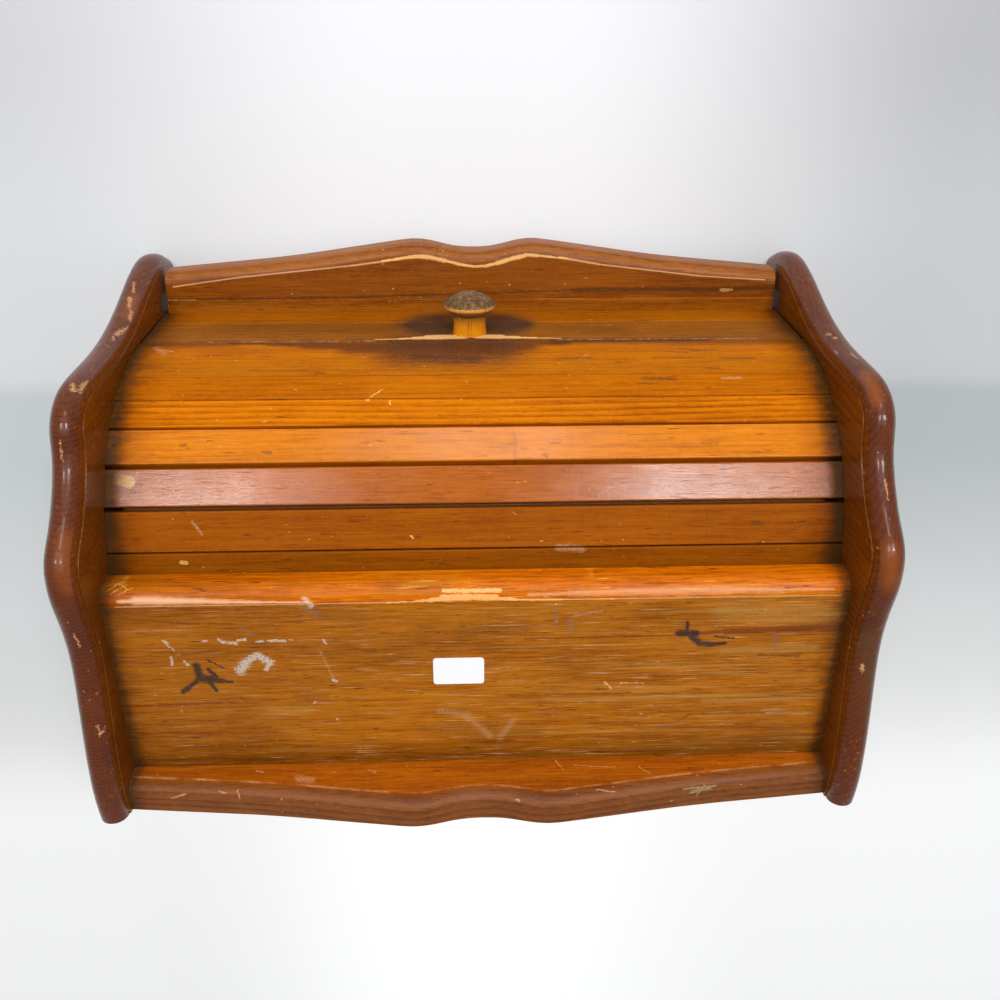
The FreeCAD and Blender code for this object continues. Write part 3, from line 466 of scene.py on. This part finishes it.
def growth_rings(graph, board, pith, spacing, waviness):
    """Latewood lines round a pith line along the grain."""
    _, y, z = graph.axes(board)
    sway = graph.times(graph.noise(board, SWAY_GRAIN, 2.0), waviness)
    dy, dz = graph.math("SUBTRACT", y, pith[0]), graph.math("SUBTRACT", z, pith[1])
    distance = graph.math("SQRT", graph.plus(graph.times(dy, dy), graph.times(dz, dz)))
    phase = graph.math("FRACT", graph.times(graph.plus(distance, sway), 1.0 / spacing))
    return graph.times(graph.span(phase, 0.2, 0.85), graph.span(phase, 0.9, 1.0, 1.0, 0.0))


def arris_mask(graph, radius):
    """1 along arrises, from the normal rounded over radius against the true one."""
    rounded = graph.add("ShaderNodeBevel", {"Radius": radius}, samples=4).outputs["Normal"]
    plain = graph.add("ShaderNodeNewGeometry").outputs["Normal"]
    return graph.span(graph.vector("DOT_PRODUCT", rounded, plain), 0.82, 0.985, 1.0, 0.0)


def along_grain(graph, place, grain, seed):
    """The place with its x along the grain. The seed sets the boards' patterns apart."""
    board = place
    if grain != "x":
        x, y, z = graph.axes(place)
        board = graph.joined(z, y, x) if grain == "z" else graph.joined(y, x, z)
    return graph.vector("ADD", board, (seed, 0.0, 0.0))


def wood_tones(tone):
    """Ramp from the dark streaks over the middle tone to the light ones."""
    r, g, b = tone
    return [(0.0, (r * 0.50, g * 0.36, b * 0.35)), (0.5, tone),
            (1.0, (min(r * 1.30, 1.0), g * 1.42, b * 1.6))]


def add_flecks(graph, board, colour, tone, strength):
    """Short dark resin lines. Gives the colour and their mask."""
    specks = graph.noise(board, FLECK_GRAIN, 2.0, 0.6)
    mask = graph.span(specks, 0.155, 0.215, 0.0, strength)
    dark = tuple(part * share for part, share in zip(tone, FLECK_SHADE))
    return graph.blend(mask, colour, dark), mask


def add_dings(graph, board, place, colour, strength):
    """Small pale knocks, more of them in some places."""
    hits = graph.plus(graph.noise(board, DING_GRAIN, 2.0, 0.5),
                      graph.times(graph.noise(place, 22.0, 3.0), 0.22))
    return graph.blend(graph.span(hits, 0.225, 0.265, 0.0, strength), colour, WORN)


def add_grime_and_shade(graph, place, colour, mottle, strength, reach):
    """Grime and painted shade where a board meets the side panels: painted shade over the wider
    band, grime over the narrower one. Gives the colour and the grime's mask.
    """
    room = graph.math("SUBTRACT", INNER_HALF, graph.math("ABSOLUTE", graph.axes(place)[0]))
    room = graph.plus(room, graph.times(graph.noise(place, GRIME_EDGE, 5.0, 0.7), 0.014))
    # Painted shade: the board darkens over a wider band towards the side panels
    painted_shade = graph.span(room, 0.0, reach * 2.2, 0.75 * strength, 0.0)
    colour = graph.blend(painted_shade, colour, PANEL_SHADE, "MULTIPLY")
    dirt = graph.span(room, 0.0, reach * 1.1, strength, 0.0)
    dirt = graph.times(dirt, graph.plus(0.85, graph.times(mottle, 1.2)))
    return graph.blend(dirt, colour, GRIME), dirt


def pine(name, tone, pith=(0.3, -0.4), spacing=0.004, waviness=0.010, rings=0.25, streaks=1.0,
         seed=0.0, grain="x", roughness=0.34, specular=0.06, coat=0.0, wear=0.5, arris=0.0008,
         flecks=0.6, dings=0.5, grime_and_shade=0.0, grime_and_shade_reach=0.012, flat=None, marks=(), extra=None,
         relief=0.3):
    """Varnished pine of the given middle tone. pith, spacing and waviness shape its growth rings,
    extra tints it by place, and flat lays out its marks."""
    material, graph = new_material(name)
    place = graph.place()
    board = along_grain(graph, place, grain, seed)
    fine = graph.noise(board, FINE_GRAIN, 3.0, 0.65)
    middle = graph.noise(board, MIDDLE_GRAIN, 4.0, 0.65, 0.2)
    cloud = graph.noise(board, BROAD_CLOUDS, 4.0, 0.6)
    mottle = graph.noise(place, 320.0, 3.0, 0.6)
    latewood = growth_rings(graph, board, pith, spacing, waviness)
    shade = graph.plus(0.5, graph.times(fine, 1.15 * streaks), graph.times(middle, 0.60 * streaks),
                       graph.times(cloud, 0.70), graph.times(mottle, 0.30),
                       graph.times(latewood, -rings))
    colour = graph.ramp(shade, wood_tones(tone))
    if extra is not None:
        colour = extra(graph, place, colour)
    colour, fleck_mask = add_flecks(graph, board, colour, tone, flecks)
    colour = add_dings(graph, board, place, colour, dings)

    worn = 0.0
    if wear > 0.0:
        patchy = graph.span(graph.noise(place, 60.0, 4.0, 0.7), -0.12, 0.10)
        worn = graph.times(arris_mask(graph, arris), patchy, wear)
        colour = graph.blend(worn, colour, WORN)
    if marks:
        colour = add_marks(graph, colour, flat(graph, place), marks)
    dirt = 0.0
    # Grime and painted shade where the board meets the side panels
    if grime_and_shade > 0.0:
        colour, dirt = add_grime_and_shade(graph, place, colour, mottle, grime_and_shade, grime_and_shade_reach)

    dull = graph.times(graph.noise(place, 24.0, 4.0, 0.6), 0.35)
    gloss = graph.plus(roughness, dull, graph.times(fine, 0.25), graph.times(worn, 0.25),
                       graph.times(dirt, 0.3))
    waves = graph.noise(place, 90.0, 3.0)
    height = graph.plus(graph.times(fine, 0.9), graph.times(middle, 0.6),
                        graph.times(mottle, 0.5), graph.times(waves, 1.2),
                        graph.times(fleck_mask, -0.6))
    settings = {"Base Color": colour, "Roughness": gloss, "Coat Weight": coat,
                "Coat Roughness": 0.10, "Specular IOR Level": specular}
    finish_surface(graph, settings, height, relief)
    return material


def dress(node, material):
    mesh = nodes[node].data
    mesh.materials.clear()
    mesh.materials.append(material)


def slat_name(number):
    return "slat_%02d" % number


def strokes_between(groups, low, high):
    """The groups with only the strokes whose v reaches low..high, in mm."""
    kept = []
    for tone, strength, ragged, softness, strokes in groups:
        near = [stroke for stroke in strokes
                if min(stroke[1], stroke[3]) - 2 * stroke[4] < high
                and max(stroke[1], stroke[3]) + 2 * stroke[4] > low]
        if near:
            kept.append((tone, strength, ragged, softness, near))
    return kept


def curtain_height(y, z):
    """v of the unrolled curtain, in mm."""
    angle = math.atan2(z - AXIS_Z, AXIS_Y - y)
    return (angle * ARC_RADIUS if angle > -RAIL_TILT else z - AXIS_Z) * MM


def curtain_marks(node):
    """The curtain's marks that reach the node."""
    low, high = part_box(node)
    bottom, top = curtain_height(low.y, low.z), curtain_height(high.y, high.z)
    return strokes_between(CURTAIN_MARKS, bottom, top)


# Middle tone, specular level, roughness and wear of each slat, from the handle rail up
# The middle tones were matched slat by slat, so their spread partly paints how the light falls:
# painted light on the bright slats 4 and 5, painted shade on the darker slats from 7 up.
SLATS = [((0.50, 0.136, 0.001), 0.02, 0.38, 0.3), ((0.455, 0.128, 0.001), 0.02, 0.38, 0.3),
         ((0.46, 0.119, 0.001), 0.02, 0.38, 0.3), ((0.60, 0.163, 0.001), 0.03, 0.38, 0.4),
         ((0.62, 0.177, 0.003), 0.20, 0.21, 0.9), ((0.38, 0.090, 0.003), 0.21, 0.18, 0.9),
         ((0.31, 0.074, 0.001), 0.05, 0.36, 0.8), ((0.255, 0.065, 0.001), 0.04, 0.38, 0.7),
         ((0.27, 0.065, 0.001), 0.05, 0.38, 0.3), ((0.27, 0.065, 0.001), 0.05, 0.38, 0.3)]
CATHEDRAL_SLAT = 4  # its growth rings show most
SHINY = 0.1  # slats above this specular level keep a smooth varnish
RAILS = [("handle_rail", (0.30, 0.094, 0.006), 21.0), ("lead_rail", (0.38, 0.104, 0.001), 23.0)]


def dress_curtain():
    for number, (tone, specular, roughness, wear) in enumerate(SLATS, start=1):
        name = slat_name(number)
        low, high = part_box(slat_name(number))
        pith = (low.y + 0.03 * math.sin(number * 2.3),
                high.z - 0.06 - 0.03 * math.cos(number * 1.7))
        dress(name, pine(name + "_pine", tone, pith, spacing=0.0032, waviness=0.016,
                         rings=0.28 if number == CATHEDRAL_SLAT else 0.10, streaks=0.8,
                         seed=number * 1.7, roughness=roughness, specular=specular, wear=wear,
                         grime_and_shade=1.0, flat=flat_curtain, marks=curtain_marks(name),
                         relief=0.13 if specular > SHINY else 0.28))
    for name, tone, seed in RAILS:
        dress(name, pine(name + "_pine", tone, rings=0.1, streaks=0.8, seed=seed, grime_and_shade=0.95,
                         flat=flat_curtain, marks=curtain_marks(name)))


def tinted(graph, share, colour, factors):
    """The colour times the factors, by the given share. A factor above 1 brightens."""
    return graph.blend(share, colour, factors, "MULTIPLY")


def tint_shelf(graph, place, colour):
    """Olive and pale streaks, painted shade along the rear where the shelf meets the gallery, a
    darker left end, and an orange nose.
    """
    x, y, _ = graph.axes(place)
    wander = graph.times(graph.noise(place, (14.0, 60.0, 1.0), 4.0), 0.012)
    # Painted shade in the corner along the gallery board
    rear = graph.span(graph.plus(y, wander), 0.088, 0.110, 0.0, 0.8)
    colour = tinted(graph, rear, colour, (0.38, 0.40, 0.45))
    streaks = graph.span(graph.noise(place, (7.0, 460.0, 1.0), 4.0, 0.7), 0.02, 0.20)
    share = graph.times(streaks, graph.span(x, -0.10, 0.05, 0.60, 0.25))
    colour = graph.blend(share, colour, OLIVE)
    hairs = graph.noise(place, (42.0, 1500.0, 1.0), 3.0, 0.6)
    colour = graph.blend(graph.span(hairs, 0.10, 0.22, 0.0, 0.60), colour, PALE)
    haze = graph.noise(place, (9.0, 26.0, 1.0), 4.0, 0.65)
    haze = graph.span(haze, -0.02, 0.22, 0.0, 0.75)
    colour = tinted(graph, haze, colour, (0.66, 0.62, 0.75))
    left_end = graph.span(x, 0.05, 0.15, 0.0, 0.8)
    colour = tinted(graph, left_end, colour, (0.80, 0.78, 0.85))
    nose = graph.span(y, 0.0050, 0.0064, 1.0, 0.0)
    return graph.blend(nose, colour, tinted(graph, 1.0, colour, (1.55, 1.18, 0.15)))


def tint_panel(graph, place, colour):
    """Orange-brown inner face, chipped red-brown rim, dusty shoulder on the outside."""
    across = graph.math("SUBTRACT", graph.math("ABSOLUTE", graph.axes(place)[0]), INNER_HALF)
    inner = graph.span(across, 0.0006, INNER_FACE, 1.0, 0.0)
    colour = graph.blend(inner, colour, tinted(graph, 1.0, colour, (1.40, 1.65, 0.40)))
    chips = graph.span(graph.noise(place, (520.0, 420.0, 420.0), 3.0, 0.7), 0.07, 0.20)
    chips = graph.times(chips, graph.span(graph.noise(place, 26.0, 3.0), -0.06, 0.14), 0.55)
    colour = graph.blend(chips, colour, CHIP)
    to_face = graph.math("SUBTRACT", OUTER_HALF - INNER_HALF, across)
    dusty = graph.times(graph.span(to_face, 0.0026, 0.0040, 1.0, 0.0),
                        graph.span(to_face, 0.0002, 0.0006, 0.06, 1.0))
    patchy = graph.span(graph.noise(place, 90.0, 4.0, 0.7), -0.16, 0.06, 0.25, 0.8)
    return graph.blend(graph.times(dusty, patchy), colour, DUST)


def tint_gallery(graph, place, colour):
    """The rounded top edge is darker and less yellow than the face."""
    y = graph.axes(place)[1]
    rim = graph.span(y, GALLERY_FACE + 0.0002, GALLERY_FACE + 0.0012)
    return graph.blend(rim, colour, tinted(graph, 1.0, colour, (0.46, 0.54, 9.0)))


def tint_front_board(graph, place, colour):
    """The rounded front edge is lighter and less yellow than the flat."""
    z = graph.axes(place)[2]
    rim = graph.span(z, FRONT_BOARD_TOP - 0.0012, FRONT_BOARD_TOP - 0.0002, 1.0, 0.0)
    return graph.blend(rim, colour, tinted(graph, 1.0, colour, (1.15, 1.35, 9.0)))


def dress_case():
    dress("top_shelf", pine(
        "shelf_pine", (0.40, 0.120, 0.003), (0.02, 0.11), spacing=0.0045, waviness=0.02,
        rings=0.12, streaks=1.5, seed=5.0, specular=0.12, wear=0.0, flecks=0.9, dings=0.4,
        grime_and_shade=0.85, grime_and_shade_reach=0.007, flat=flat_top, marks=SHELF_MARKS, extra=tint_shelf))
    dress("gallery_board", pine(
        "gallery_pine", (0.46, 0.114, 0.001), (0.2, 0.22), seed=31.0, roughness=0.46,
        specular=0.22, wear=0.8, arris=0.0009, grime_and_shade=0.7, grime_and_shade_reach=0.006, flat=flat_gallery,
        marks=GALLERY_MARKS, extra=tint_gallery))
    dress("base_front_board", pine(
        "front_board_pine", (0.27, 0.069, 0.001), (-0.1, 0.2), seed=37.0, roughness=0.40,
        specular=0.20, wear=0.0, dings=0.8, flat=flat_top, marks=FRONT_MARKS,
        extra=tint_front_board))
    dress("floor_board", pine("floor_pine", (0.30, 0.085, 0.004), (0.0, 0.25), seed=41.0))
    for name, seed in (("side_panel_left", 47.0), ("side_panel_right", 53.0)):
        dress(name, pine(
            name + "_pine", (0.120, 0.025, 0.004), (-0.25, 0.19), spacing=0.0022,
            waviness=0.004, rings=0.22, streaks=0.9, seed=seed, grain="z", roughness=0.30,
            specular=0.18, coat=0.2, wear=0.0, flecks=0.4, flat=flat_rim,
            marks=PANEL_MARKS[name], extra=tint_panel))


def plain_wood(name, tone, seed):
    return pine(name, tone, spacing=0.011, waviness=0.030, rings=0.07, streaks=0.55, seed=seed,
                roughness=0.62, wear=0.0, dings=0.0, flecks=0.3, relief=0.15)


def band(graph, depth, start, full, fade, end, strength):
    """A band round the knob: nothing before start or past end, its full strength between."""
    rise = graph.span(depth, KNOB_RIM + start, KNOB_RIM + full, 0.0, strength)
    return graph.times(rise, graph.span(depth, KNOB_RIM + fade, KNOB_RIM + end, 1.0, 0.0))


def tint_knob(graph, place, colour):
    """Worn, grimy dome, pale rim and a painted shadow under the cap. The stem keeps its orange."""
    axis = Vector((0.0, -math.cos(RAIL_TILT), -math.sin(RAIL_TILT)))
    out = graph.vector("DOT_PRODUCT", place, tuple(axis))
    tip = max(axis.dot(corner) for corner in (knob_low, Vector((0, knob_low.y, knob_high.z))))
    depth = graph.math("SUBTRACT", tip, out)
    mottle = graph.noise(place, 420.0, 4.0, 0.7)
    dome_tone = graph.ramp(graph.plus(0.5, graph.times(mottle, 1.7)), [
        (0.2, (0.040, 0.024, 0.012)), (0.5, (0.115, 0.066, 0.032)), (0.85, (0.28, 0.18, 0.10))])
    ragged = graph.plus(depth, graph.times(mottle, 0.002))
    dome = graph.span(ragged, KNOB_RIM - 0.0008, KNOB_RIM, 0.95, 0.0)
    # Painted shadow under the cap, fading down the stem
    under = band(graph, depth, 0.0012, 0.0022, 0.004, 0.011, 0.85)
    colour = graph.blend(under, colour, CAP_SHADOW)
    rim = band(graph, depth, -0.0002, 0.0004, 0.0008, 0.0014, 0.85)
    return graph.blend(dome, graph.blend(rim, colour, WORN), dome_tone)


def steel():
    material, graph = new_material("steel")
    scuff = graph.plus(0.38, graph.times(graph.noise(graph.place(), 900.0), 0.5))
    finish_surface(graph, {"Base Color": (0.55, 0.54, 0.52), "Metallic": 1.0, "Roughness": scuff})
    return material


def cotton_canvas():
    material, graph = new_material("cotton_canvas")
    weave = graph.noise(graph.place(), (1500.0, 1500.0, 1500.0), 2.0)
    tint = graph.blend(graph.plus(0.5, weave), (0.10, 0.07, 0.04), (0.24, 0.18, 0.11))
    finish_surface(graph, {"Base Color": tint, "Roughness": 0.9}, weave, 0.5)
    return material


def label_paper():
    material, graph = new_material("label_paper")
    mottle = graph.plus(0.5, graph.noise(graph.place(), 300.0, 2.0))
    tint = graph.blend(mottle, (0.90, 0.90, 0.92), (0.95, 0.95, 0.96))
    finish_surface(graph, {"Base Color": tint, "Roughness": 0.45}, mottle, 0.1, 0.0001)
    return material


def dress_small_parts():
    dress("back_panel", plain_wood("back_plywood", (0.46, 0.28, 0.13), 61.0))
    dowel = plain_wood("dowel_beech", (0.50, 0.32, 0.17), 67.0)
    for name in ("shelf_dowels", "gallery_end_dowels", "gallery_rear_dowels",
                 "front_board_dowels"):
        dress(name, dowel)
    metal = steel()
    dress("back_panel_nails", metal)
    dress("knob_screw", metal)
    dress("knob", pine("knob_wood", (0.66, 0.230, 0.006), (0.0, 0.12), spacing=0.0018,
                       waviness=0.002, rings=0.1, streaks=0.9, seed=71.0, grain="y", wear=0.8,
                       arris=0.0006, extra=tint_knob))
    dress("tambour_canvas", cotton_canvas())
    dress("paper_label", label_paper())


# ---------------------------------------------------------------------------------------------
# Floor, light and world
# ---------------------------------------------------------------------------------------------
FLOOR_HALF = 4.0
FLOOR_NEAR, FLOOR_FAR = -0.26, 0.60

# The floor's tone at each y, from beyond the box's front to behind its back. Its darker stretch
# from y -0.018 to 0.15 is painted shade.
FLOOR_TONES = [
    (-0.25, (0.86, 0.865, 0.885)), (-0.15, (0.855, 0.865, 0.88)), (-0.045, (0.87, 0.885, 0.90)),
    (-0.029, (0.84, 0.86, 0.87)), (-0.018, (0.67, 0.73, 0.73)), (0.03, (0.67, 0.73, 0.73)),
    (0.09, (0.75, 0.785, 0.785)), (0.15, (0.82, 0.84, 0.84)), (0.22, (0.865, 0.87, 0.865)),
    (0.27, (0.90, 0.90, 0.89)), (0.31, (0.96, 0.96, 0.95)), (0.36, (0.99, 0.99, 0.98))]
BASE_SHARE = (0.88, 0.88, 0.88)  # of that tone in the base colour, as the glow adds to it


def side_painted_shade(graph, x, y):
    """Painted shade: how much darker the floor is to both sides of the box."""
    left = graph.times(graph.span(x, 0.04, 0.29, 0.0, 0.22), graph.span(y, 0.25, 0.36, 1.0, 0.8),
                       graph.span(y, -0.24, -0.12, 1.4, 1.0))
    right = graph.times(graph.span(x, -0.30, -0.04, 0.36, 0.0),
                        graph.span(y, -0.03, 0.30, 1.0, 0.38),
                        graph.span(y, -0.24, -0.12, 1.25, 1.0))
    return graph.plus(left, right)


def floor_paper():
    """Pale paper with painted shade: greyer under the box and to both sides, with a faint glow seen
    by the camera.
    """
    material, graph = new_material("floor_paper")
    place = graph.place()
    x, y, _ = graph.axes(place)
    away = graph.plus(y, graph.times(graph.noise(place, 4.0, 2.0), 0.02))
    tone = graph.ramp(graph.span(away, FLOOR_NEAR, FLOOR_FAR, 0.0, 1.0, "LINEAR"), [
        ((spot - FLOOR_NEAR) / (FLOOR_FAR - FLOOR_NEAR), colour) for spot, colour in FLOOR_TONES])
    # Painted shade to both sides of the box
    painted_shade = side_painted_shade(graph, x, y)
    tone = graph.blend(painted_shade, tone, (0.0, 0.0, 0.0))
    rays = graph.add("ShaderNodeLightPath").outputs
    seen = graph.math("MAXIMUM", rays["Is Camera Ray"], rays["Is Glossy Ray"])
    seen = graph.math("MAXIMUM", seen, rays["Is Transmission Ray"])
    rise = graph.span(away, 0.20, 0.36, 0.12, 0.25)
    glow = graph.times(rise, graph.math("SUBTRACT", 1.0, painted_shade))
    base = graph.blend(1.0, tone, BASE_SHARE, "MULTIPLY")
    finish_surface(graph, {"Base Color": base, "Roughness": 0.9,
                           "Emission Color": (1.0, 1.0, 1.0),
                           "Emission Strength": graph.times(glow, seen)})
    return material


def make_floor():
    mesh = bpy.data.meshes.new("floor")
    corners = [(-FLOOR_HALF, -FLOOR_HALF, 0.0), (FLOOR_HALF, -FLOOR_HALF, 0.0),
               (FLOOR_HALF, FLOOR_HALF, 0.0), (-FLOOR_HALF, FLOOR_HALF, 0.0)]
    mesh.from_pydata(corners, [], [(0, 1, 2, 3)])
    floor = bpy.data.objects.new("floor", mesh)
    bpy.context.scene.collection.objects.link(floor)
    mesh.materials.append(floor_paper())


def area_light(name, place, target, size, power):
    data = bpy.data.lights.new(name, "AREA")
    data.shape = "RECTANGLE"
    data.size, data.size_y = size
    data.energy = power
    light = bpy.data.objects.new(name, data)
    light.location = place
    light.rotation_euler = (Vector(target) - Vector(place)).to_track_quat("-Z", "Y").to_euler()
    bpy.context.scene.collection.objects.link(light)


CURTAIN_CROWN = Vector((0.0, -0.045, 0.17))
LAMP_DISTANCE = 3.4

# Name, direction from the curtain's crown, size in metres and power in watts
LAMPS = [("front_lamp", (-0.02, -0.92, 0.39), (0.80, 0.70), 18.0),
         ("left_window", (0.28, -0.575, 0.77), (0.60, 0.50), 36.0),
         ("right_window", (-0.27, -0.575, 0.77), (0.66, 0.50), 50.0)]

SKY_TONE = (0.95, 0.97, 1.0)
SKY_LOW, SKY_HIGH = 0.62, 0.48


def make_light():
    for name, direction, size, power in LAMPS:
        place = CURTAIN_CROWN + Vector(direction) * LAMP_DISTANCE
        area_light(name, place, CURTAIN_CROWN, size, power)
    world = bpy.data.worlds.new("studio")
    world.use_nodes = True
    graph = Graph(world.node_tree)
    world.node_tree.nodes.clear()
    height = graph.axes(graph.add("ShaderNodeTexCoord").outputs["Generated"])[2]
    level = graph.span(height, 0.15, 0.65, SKY_LOW, SKY_HIGH)
    background = graph.add("ShaderNodeBackground", {"Color": SKY_TONE, "Strength": level})
    out = graph.add("ShaderNodeOutputWorld")
    graph.feed(out.inputs["Surface"], background.outputs["Background"])
    bpy.context.scene.world = world


make_camera()
dress_curtain()
dress_case()
dress_small_parts()
make_floor()
make_light()

bpy.context.scene.view_settings.view_transform = "Standard"
